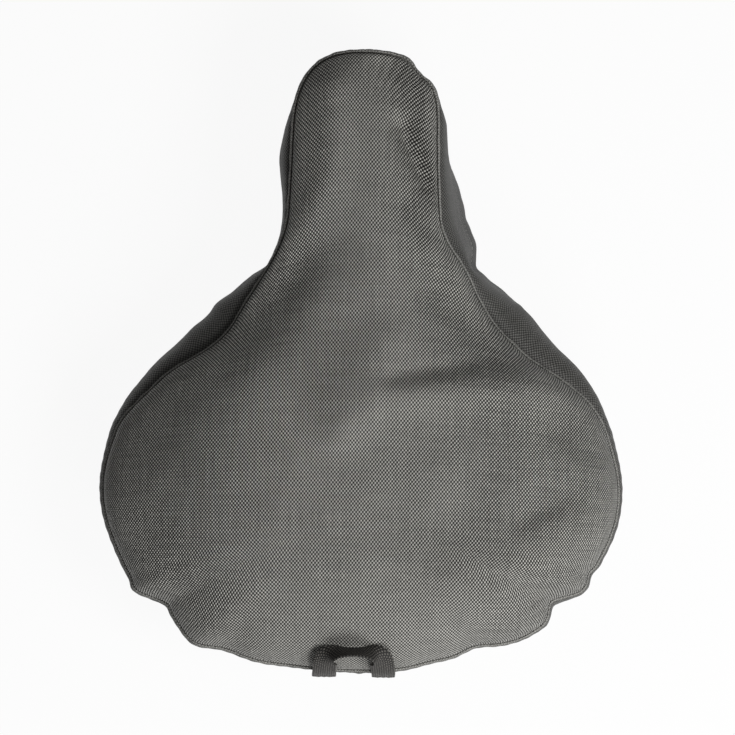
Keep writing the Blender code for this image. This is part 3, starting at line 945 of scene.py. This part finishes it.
class SADDLECOVER_OT_welt(bpy.types.Operator):
    """Add the cloth-covered bead that runs round the seam"""

    bl_idname = "saddle_cover.add_welt"
    bl_label = "Welt"

    def execute(self, context):
        outline = Outline(WELT_ROUND)
        level = np.zeros(WELT_ROUND)
        swell = unevenness(outline.arc, level, 0.003, 0.011, 0.12, 11)
        radius = outline.bead_radius() * (1 + swell)
        wobble = unevenness(outline.arc, level, 0.004, 0.013, 0.15, 12)
        centre = outline.ring((BEAD_OUT + wobble) * radius, outline.seam_z - BEAD_DROP * radius)
        side = np.column_stack((*outline.out, level))
        up = np.broadcast_to((0.0, 0.0, 1.0), side.shape)
        along = np.arange(WELT_ROUND + 1) * 2 * outline.half_round / WELT_ROUND
        mesh = tube_mesh("seam_bead", centre, side, up, radius, along)
        finish = canvas("welt_canvas", 1.05, 0.00012, fineness=1.7, flatness=0.6)
        put("seam_bead", mesh, finish, "welt", "seam_welt")
        return {"FINISHED"}


ELASTIC_ROUND = 400


class SADDLECOVER_OT_elastic(bpy.types.Operator):
    """Add the flat elastic that stands in the hem's casing"""

    bl_idname = "saddle_cover.add_elastic"
    bl_label = "Hem Elastic"

    def execute(self, context):
        outline = Outline(ELASTIC_ROUND)
        z = np.linspace(CLOTH + CLEARANCE + ELASTIC_WIDTH, CLOTH + CLEARANCE, 4)[:, None]
        z = z * np.ones(ELASTIC_ROUND)
        inward = (casing_width(z) - ELASTIC_THICKNESS) / 2
        points = outline.ring(outline.band_out(z) - inward, z)
        around = outline.arc % (2 * outline.half_round)
        uv = np.stack(np.broadcast_arrays(around, z), axis=-1)
        mesh = build_mesh("casing_elastic", points, grid_faces(4, ELASTIC_ROUND, True).tolist(), uv)
        piece = put("casing_elastic", mesh, elastic_finish(), "elastic", "hem_elastic")
        thicken(piece, ELASTIC_THICKNESS)
        return {"FINISHED"}


LOOP_STEPS = 260
LOOP_SIDES = 28
WEBBING_POWER = 0.35
BOUND_END = 0.007
BOUND_STEP = 0.0008
BOUND_LAYER = 0.00045
LOOP_SMOOTHING = 14


def loop_knots(outline):
    """Half of the loop's middle line, from the leg's end on the band up to the top of the loop, as
    share of the way out to a leg, y, z and turn of the webbing."""
    shape = context_shape()
    reach = (LOOP_SPACING + WEBBING_WIDTH) / 2
    behind = (np.abs(outline.x - LOOP_X) < reach + BEHIND_MARGIN) & (outline.y < WING_Y)
    stand_off = CLEARANCE + WEBBING_THICKNESS / 2
    leg_top = outline.seam_z[0] - shape.welt_radius
    knots = []
    for down in (LOOP_LEG, LOOP_LEG * 0.62, LOOP_LEG * 0.28):
        z = leg_top - down
        face = outline.ring(outline.band_out(z), z)[behind, 1].min()
        knots.append((1.0, face - stand_off, z, 0.0))
    welt_face = outline.ring(CLEARANCE + 2 * shape.welt_radius, 0.0)[behind, 1].min()
    knots.append((1.0, welt_face - stand_off, leg_top, 0.0))
    for share, forward, up, turn in LOOP_RISE:
        y = REAR_Y + forward
        v = min((WING_Y - y) / (WING_Y - REAR_Y), 1)
        z = float(panel_height(0.0, y, v)) + up
        knots.append((share, y - stand_off, z, turn))
    return knots


def loop_frame():
    """The loop's middle line with its directions: points, along, across and off the webbing."""
    half = loop_knots(Outline(BAND_ROUND))
    left = [(-share, y, z, turn) for share, y, z, turn in half]
    right = [(share, y, z, turn) for share, y, z, turn in half]
    knots = np.array(left + right[-2::-1])
    knots[:, 0] = LOOP_X + knots[:, 0] * LOOP_SPACING / 2
    run = np.concatenate(([0], np.cumsum(np.linalg.norm(np.diff(knots[:, :3], axis=0), axis=1))))
    at = np.linspace(0, run[-1], LOOP_STEPS + 1)
    line = np.column_stack([smooth_line(run, column, at) for column in knots.T])
    along = np.gradient(line[:, :3], axis=0)
    along /= np.linalg.norm(along, axis=1)[:, None]
    level = np.column_stack((along[:, 1] + along[:, 2], -along[:, 0])) * np.cos(line[:, 3:])
    across = np.column_stack((level, np.sin(line[:, 3])))
    across -= along * np.sum(across * along, axis=1)[:, None]
    across /= np.linalg.norm(across, axis=1)[:, None]
    return at, line[:, :3], along, across, np.cross(across, along)


class SADDLECOVER_OT_loop(bpy.types.Operator):
    """Add the webbing loop, with its ends turned under where they are sewn to the band"""

    bl_idname = "saddle_cover.add_loop"
    bl_label = "Webbing Loop"

    def execute(self, context):
        at, line, _, across, off = loop_frame()
        end = np.minimum(at, at[-1] - at)
        bound = BOUND_LAYER * (1 - np.clip((end - BOUND_END) / BOUND_STEP, 0, 1))
        turn = np.arange(LOOP_SIDES) * 2 * np.pi / LOOP_SIDES
        wide = np.sign(np.cos(turn)) * np.abs(np.cos(turn)) ** WEBBING_POWER
        thick = np.sign(np.sin(turn)) * np.abs(np.sin(turn)) ** WEBBING_POWER
        sway = 1 + 0.02 * np.sin(at / 0.011)
        sideways = wide[:, None] * sway * WEBBING_WIDTH / 2
        away = thick[:, None] * (WEBBING_THICKNESS / 2) + bound * (thick[:, None] > 0)
        points = line[None] + across[None] * sideways[..., None] + off[None] * away[..., None]
        for _ in range(LOOP_SMOOTHING):
            points[:, 1:-1] = (points[:, :-2] + 2 * points[:, 1:-1] + points[:, 2:]) / 4
        count = len(at)
        faces = grid_faces(LOOP_SIDES + 1, count, False) % (LOOP_SIDES * count)
        uv = np.stack(np.broadcast_arrays((wide * WEBBING_WIDTH / 2)[:, None], at), axis=-1)
        rim = np.arange(LOOP_SIDES) * count
        ends = [rim.tolist(), (rim + count - 1)[::-1].tolist()]
        mesh = build_mesh("webbing_loop", points, faces.tolist() + ends, uv)
        mesh.set_sharp_from_angle(angle=math.radians(60))
        put("webbing_loop", mesh, webbing_finish(), "webbing", "pull_loop")
        return {"FINISHED"}


STITCH_SIDES = 6
STITCH_ROWS = 5
STITCH_OUT = 0.85
STITCH_RISE = 0.92


def stitches_mesh(name, centre, along, off, length, radius):
    """Stitches as small capsules: along each one the radius follows the root of a half circle and
    the middle is lifted off the cloth. Centres and directions are one row for each stitch."""
    share = np.sin(np.linspace(-np.pi / 2, np.pi / 2, STITCH_ROWS + 2))
    width = np.sqrt(np.clip(1 - share ** 4, 0, 1)) * 0.999 + 0.001
    turn = np.arange(STITCH_SIDES) * 2 * np.pi / STITCH_SIDES
    side = np.cross(along, off)
    section = (
        side[:, None, None] * np.cos(turn)[None, None, :, None]
        + off[:, None, None] * np.sin(turn)[None, None, :, None]
    )
    spine = (
        centre[:, None]
        + along[:, None] * (share * length / 2)[None, :, None]
        + off[:, None] * ((1 - share ** 2) * radius * 0.6)[None, :, None]
    )
    points = spine[:, :, None] + section * (width * radius)[None, :, None, None]
    rows, sides = STITCH_ROWS + 2, STITCH_SIDES
    one = grid_faces(rows, sides, True)
    each = rows * sides
    starts = np.arange(len(centre)) * each
    quads = (one[None] + starts[:, None, None]).reshape(-1, 4)
    caps = np.stack((np.arange(sides)[::-1], np.arange(sides) + each - sides))
    caps = (caps[None] + starts[:, None, None]).reshape(-1, sides)
    uv = np.stack(np.broadcast_arrays(
        (share * length / 2)[None, :, None], turn[None, None, :], np.zeros((len(centre), 1, 1))
    )[:2], axis=-1)
    return build_mesh(name, points, quads[:, ::-1].tolist() + caps[:, ::-1].tolist(), uv)


def ring_directions(points):
    """Directions along a closed line of points."""
    along = np.roll(points, -1, axis=0) - np.roll(points, 1, axis=0)
    return along / np.linalg.norm(along, axis=1)[:, None]


class SADDLECOVER_OT_seam_stitches(bpy.types.Operator):
    """Add the topstitching that runs along the top of the bead"""

    bl_idname = "saddle_cover.add_seam_stitches"
    bl_label = "Seam Stitches"

    def execute(self, context):
        shape = context_shape()
        rough = Outline(TOP_ROUND)
        count = 2 * round(rough.half_round / shape.seam_stitch_spacing)
        outline = Outline(count)
        radius = outline.bead_radius()
        height = outline.seam_z + (STITCH_RISE - BEAD_DROP) * radius
        centre = outline.ring(STITCH_OUT * BEAD_OUT * radius, height)
        up = np.broadcast_to((0.0, 0.0, 1.0), centre.shape)
        length = 0.66 * shape.seam_stitch_spacing
        mesh = stitches_mesh(
            "seam_stitches", centre, ring_directions(centre), up, length, shape.thread_radius
        )
        put("seam_stitches", mesh, thread_finish(), "canvas")
        return {"FINISHED"}


class SADDLECOVER_OT_hem_stitches(bpy.types.Operator):
    """Add the stitching that closes the casing above the hem"""

    bl_idname = "saddle_cover.add_hem_stitches"
    bl_label = "Hem Stitches"

    def execute(self, context):
        shape = context_shape()
        rough = Outline(TOP_ROUND)
        count = 2 * round(rough.half_round / shape.hem_stitch_spacing)
        outline = Outline(count)
        z = np.full(count, shape.hem_stitch_height)
        centre = outline.ring(outline.band_out(z) - 0.0001, z)
        off = np.column_stack((outline.out[0], outline.out[1], 0 * z))
        along = ring_directions(centre)
        off -= along * np.sum(along * off, axis=1)[:, None]
        off /= np.linalg.norm(off, axis=1)[:, None]
        length = 0.74 * shape.hem_stitch_spacing
        mesh = stitches_mesh("hem_stitches", centre, along, off, length, shape.thread_radius)
        put("hem_stitches", mesh, bpy.data.materials["sewing_thread"], "canvas")
        return {"FINISHED"}


BOX_LOW, BOX_HIGH = 0.0015, 0.0175
BOX_SIDE = 0.0038
BOX_STITCH_SPACING = 0.0024
BOX_STITCH_LENGTH = 0.0018


class SADDLECOVER_OT_loop_stitches(bpy.types.Operator):
    """Add the box of stitches with its cross that holds each leg of the loop"""

    bl_idname = "saddle_cover.add_loop_stitches"
    bl_label = "Loop Stitches"

    def execute(self, context):
        shape = context_shape()
        at, line, along, across, off = loop_frame()
        corners = {
            "low_left": (-BOX_SIDE, BOX_LOW), "low_right": (BOX_SIDE, BOX_LOW),
            "high_left": (-BOX_SIDE, BOX_HIGH), "high_right": (BOX_SIDE, BOX_HIGH),
        }
        runs = (
            ("low_left", "low_right"), ("high_left", "high_right"), ("low_left", "high_left"),
            ("low_right", "high_right"), ("low_left", "high_right"), ("low_right", "high_left"),
        )
        places, headings = [], []
        for start, end in runs:
            a, b = np.array(corners[start]), np.array(corners[end])
            number = round(np.linalg.norm(b - a) / BOX_STITCH_SPACING)
            share = ((np.arange(number) + 0.5) / number)[:, None]
            places.append(a + (b - a) * share)
            headings.append(np.broadcast_to((b - a) / np.linalg.norm(b - a), (number, 2)))
        places, headings = np.concatenate(places), np.concatenate(headings)
        found = []
        for leg in (1, -1):
            run = places[:, 1] if leg == 1 else at[-1] - places[:, 1]
            read = [
                np.column_stack([np.interp(run, at, column) for column in field.T])
                for field in (line, along, across, off)
            ]
            middle, forward, sideways, away = read
            lift = WEBBING_THICKNESS / 2 + BOUND_LAYER * (places[:, 1] < BOUND_END)
            centre = middle + sideways * places[:, :1] + away * lift[:, None]
            heading = sideways * headings[:, :1] + forward * (leg * headings[:, 1:])
            found.append((centre, heading, away))
        centre, heading, away = (np.concatenate(parts) for parts in zip(*found))
        mesh = stitches_mesh(
            "loop_stitches", centre, heading, away, BOX_STITCH_LENGTH, shape.thread_radius * 0.9
        )
        put("loop_stitches", mesh, bpy.data.materials["sewing_thread"], "webbing")
        return {"FINISHED"}


FLOOR_HALF = 3.0
KEY_SIZE = 0.5
SIDE_SIZE = 0.35


def area_light(name, place, size, power):
    """A soft square light that looks at the cover."""
    light = bpy.data.lights.new(name, "AREA")
    light.shape = "SQUARE"
    light.size = size
    light.energy = power
    lamp = bpy.data.objects.new(name, light)
    bpy.context.scene.collection.objects.link(lamp)
    direction = np.array((0.0, 0.0, 0.05)) - np.array(place)
    yaw = math.atan2(direction[1], direction[0])
    pitch = math.atan2(np.hypot(direction[0], direction[1]), -direction[2])
    lamp.location = place
    lamp.rotation_euler = (pitch, 0, yaw - math.pi / 2)


def floor_finish(white_share):
    """A white floor: plain light for the camera and for reflections, with a share of real shading
    that keeps the cover's shadow."""
    finish = Finish("studio_floor")
    finish.set(Base_Color=(0.82, 0.82, 0.82, 1), Roughness=0.9)
    rays = finish.node("ShaderNodeLightPath", {}, {}, "Is Camera Ray")
    light_path = rays.socket.node
    seen = rays.math("MAXIMUM", Signal(finish, light_path.outputs["Is Glossy Ray"]))
    seen = seen.math("MAXIMUM", Signal(finish, light_path.outputs["Is Transmission Ray"]))
    glow = finish.node("ShaderNodeEmission", {}, {"Color": (1, 1, 1, 1), "Strength": 1.0})
    mixed = finish.node(
        "ShaderNodeMixShader",
        {},
        {0: seen * white_share, 1: Signal(finish, finish.shader.outputs[0]), 2: glow},
    )
    output = finish.tree.nodes["Material Output"]
    finish.feed(output.inputs["Surface"], mixed)
    return finish.material


class SADDLECOVER_OT_stage(bpy.types.Operator):
    """Add the plain floor, the soft lights and the camera that looks straight down"""

    bl_idname = "saddle_cover.add_stage"
    bl_label = "Studio"

    def execute(self, context):
        studio = context.scene.saddle_cover_studio
        corners = FLOOR_HALF * np.array(((-1, -1, 0), (1, -1, 0), (1, 1, 0), (-1, 1, 0)))
        mesh = build_mesh("studio_floor", corners, [(0, 1, 2, 3)])
        mesh.materials.append(floor_finish(studio.floor_white))
        floor = bpy.data.objects.new("studio_floor", mesh)
        context.scene.collection.objects.link(floor)
        area_light("key_light", studio.key_place, KEY_SIZE, studio.key_power)
        area_light("side_light", studio.side_place, SIDE_SIZE, studio.side_power)
        world = bpy.data.worlds.new("studio_world")
        world.use_nodes = True
        background = world.node_tree.nodes["Background"]
        background.inputs["Color"].default_value = (1, 1, 1, 1)
        background.inputs["Strength"].default_value = studio.world_level
        context.scene.world = world
        camera = bpy.data.cameras.new("photo_camera")
        camera.lens = CAMERA_LENS
        camera.clip_end = 10
        eye = bpy.data.objects.new("photo_camera", camera)
        eye.location = (*CAMERA_POINT, CAMERA_HEIGHT)
        eye.rotation_euler = (0, 0, math.radians(CAMERA_ROLL))
        context.scene.collection.objects.link(eye)
        context.scene.camera = eye
        context.scene.view_settings.view_transform = "Standard"
        return {"FINISHED"}


def length_prop(name, description, default, low, high):
    """A property that holds a length in metres."""
    return bpy.props.FloatProperty(
        name=name, description=description, default=default, min=low, max=high,
        unit="LENGTH", precision=5,
    )


def colour_prop(name, description, default):
    """A property that holds a colour."""
    return bpy.props.FloatVectorProperty(
        name=name, description=description, default=default, min=0, max=1, size=3, subtype="COLOR",
    )


class SaddleCoverShape(bpy.types.PropertyGroup):
    """Sizes of the cover's sewing that a user would change"""

    cloth_thickness: length_prop(
        "Cloth Thickness", "Thickness of the canvas", 0.00055, 0.0002, 0.002
    )
    welt_radius: length_prop(
        "Welt Radius", "Radius of the bead in the seam", 0.00085, 0.0004, 0.003
    )
    groove_width: length_prop(
        "Groove Width", "Width of the groove inside the welt", 0.0009, 0.0, 0.003
    )
    unevenness: length_prop(
        "Unevenness", "Height of the cloth's slight unevenness", 0.00022, 0.0, 0.002
    )
    puckers: length_prop("Puckers", "Height of the puckers beside the seam", 0.00022, 0.0, 0.002)
    small_gathers: length_prop("Small Gathers", "Depth of the fine gathers", 0.00045, 0.0, 0.003)
    pleat_lap: length_prop("Pleat Lap", "How far the waist's pleat laps over", 0.001, 0.0, 0.01)
    hem_dent: length_prop("Hem Dent", "Depth of the sewn line above the hem", 0.0005, 0.0, 0.002)
    hem_stitch_height: length_prop(
        "Hem Stitch Height", "Height of the hem's stitching", 0.0125, 0.009, 0.014
    )
    seam_stitch_spacing: length_prop(
        "Seam Stitch Spacing", "Distance between the seam's stitches", 0.0015, 0.001, 0.006
    )
    hem_stitch_spacing: length_prop(
        "Hem Stitch Spacing", "Distance between the hem's stitches", 0.0028, 0.001, 0.006
    )
    thread_radius: length_prop("Thread Radius", "Radius of the thread", 0.00029, 0.0001, 0.0006)


class SaddleCoverFinish(bpy.types.PropertyGroup):
    """Colours and weave sizes that a user would change"""

    thread_colour: colour_prop("Thread Colour", "Canvas threads on top", (0.375, 0.369, 0.342))
    gap_colour: colour_prop("Gap Colour", "Canvas between the top threads", (0.010, 0.010, 0.009))
    stitch_colour: colour_prop("Stitch Colour", "Sewing thread", (0.480, 0.474, 0.450))
    webbing_colour: colour_prop("Webbing Colour", "Webbing of the loop", (0.060, 0.056, 0.050))
    elastic_colour: colour_prop("Elastic Colour", "Elastic in the hem", (0.60, 0.60, 0.58))
    thread_pitch_across: length_prop(
        "Pitch Across", "Distance between lengthwise threads", 0.00078, 0.0002, 0.005
    )
    thread_pitch_along: length_prop(
        "Pitch Along", "Distance between crosswise threads", 0.000976, 0.0002, 0.005
    )
    webbing_rib: length_prop("Webbing Rib", "Width of a rib in the webbing", 0.00105, 0.0002, 0.005)


class SaddleCoverStudio(bpy.types.PropertyGroup):
    """Places and levels of the studio's lights"""

    key_place: bpy.props.FloatVectorProperty(
        name="Key Place", description="Where the main light stands", default=(0.456, -1.189, 0.793),
        size=3, subtype="TRANSLATION", unit="LENGTH",
    )
    key_power: bpy.props.FloatProperty(
        name="Key Power", description="Power of the main light", default=10.0, min=0, unit="POWER",
    )
    side_place: bpy.props.FloatVectorProperty(
        name="Side Place", description="Where the near side light stands",
        default=(0.48, -0.265, 0.759), size=3, subtype="TRANSLATION", unit="LENGTH",
    )
    side_power: bpy.props.FloatProperty(
        name="Side Power", description="Power of the near side light", default=5.2, min=0,
        unit="POWER",
    )
    world_level: bpy.props.FloatProperty(
        name="World Level", description="Strength of the even light all round", default=0.13,
        min=0, max=2, subtype="FACTOR",
    )
    floor_white: bpy.props.FloatProperty(
        name="Floor White", description="Share of the floor that shows as plain white",
        default=0.93, min=0, max=1, subtype="FACTOR",
    )


STEPS = (
    SADDLECOVER_OT_stage,
    SADDLECOVER_OT_top,
    SADDLECOVER_OT_band,
    SADDLECOVER_OT_welt,
    SADDLECOVER_OT_elastic,
    SADDLECOVER_OT_loop,
    SADDLECOVER_OT_seam_stitches,
    SADDLECOVER_OT_hem_stitches,
    SADDLECOVER_OT_loop_stitches,
)
GROUPS = {
    "saddle_cover_shape": SaddleCoverShape,
    "saddle_cover_finish": SaddleCoverFinish,
    "saddle_cover_studio": SaddleCoverStudio,
}


class SADDLECOVER_PT_panel(bpy.types.Panel):
    """Lists the cover's settings and the buttons that add its pieces"""

    bl_label = "Bike Saddle Cover"
    bl_space_type = "VIEW_3D"
    bl_region_type = "UI"
    bl_category = "Saddle Cover"

    def draw(self, context):
        for group_name, group in GROUPS.items():
            box = self.layout.box()
            for name in group.__annotations__:
                box.prop(getattr(context.scene, group_name), name)
        for step in STEPS:
            self.layout.operator(step.bl_idname)


def register():
    for group_name, group in GROUPS.items():
        bpy.utils.register_class(group)
        setattr(bpy.types.Scene, group_name, bpy.props.PointerProperty(type=group))
    for found in (*STEPS, SADDLECOVER_PT_panel):
        bpy.utils.register_class(found)


def unregister():
    for found in (SADDLECOVER_PT_panel, *reversed(STEPS)):
        bpy.utils.unregister_class(found)
    for group_name, group in reversed(GROUPS.items()):
        delattr(bpy.types.Scene, group_name)
        bpy.utils.unregister_class(group)


def main():
    register()
    for step in STEPS:
        getattr(bpy.ops.saddle_cover, step.bl_idname.split(".")[1])()


if __name__ == "__main__":
    main()
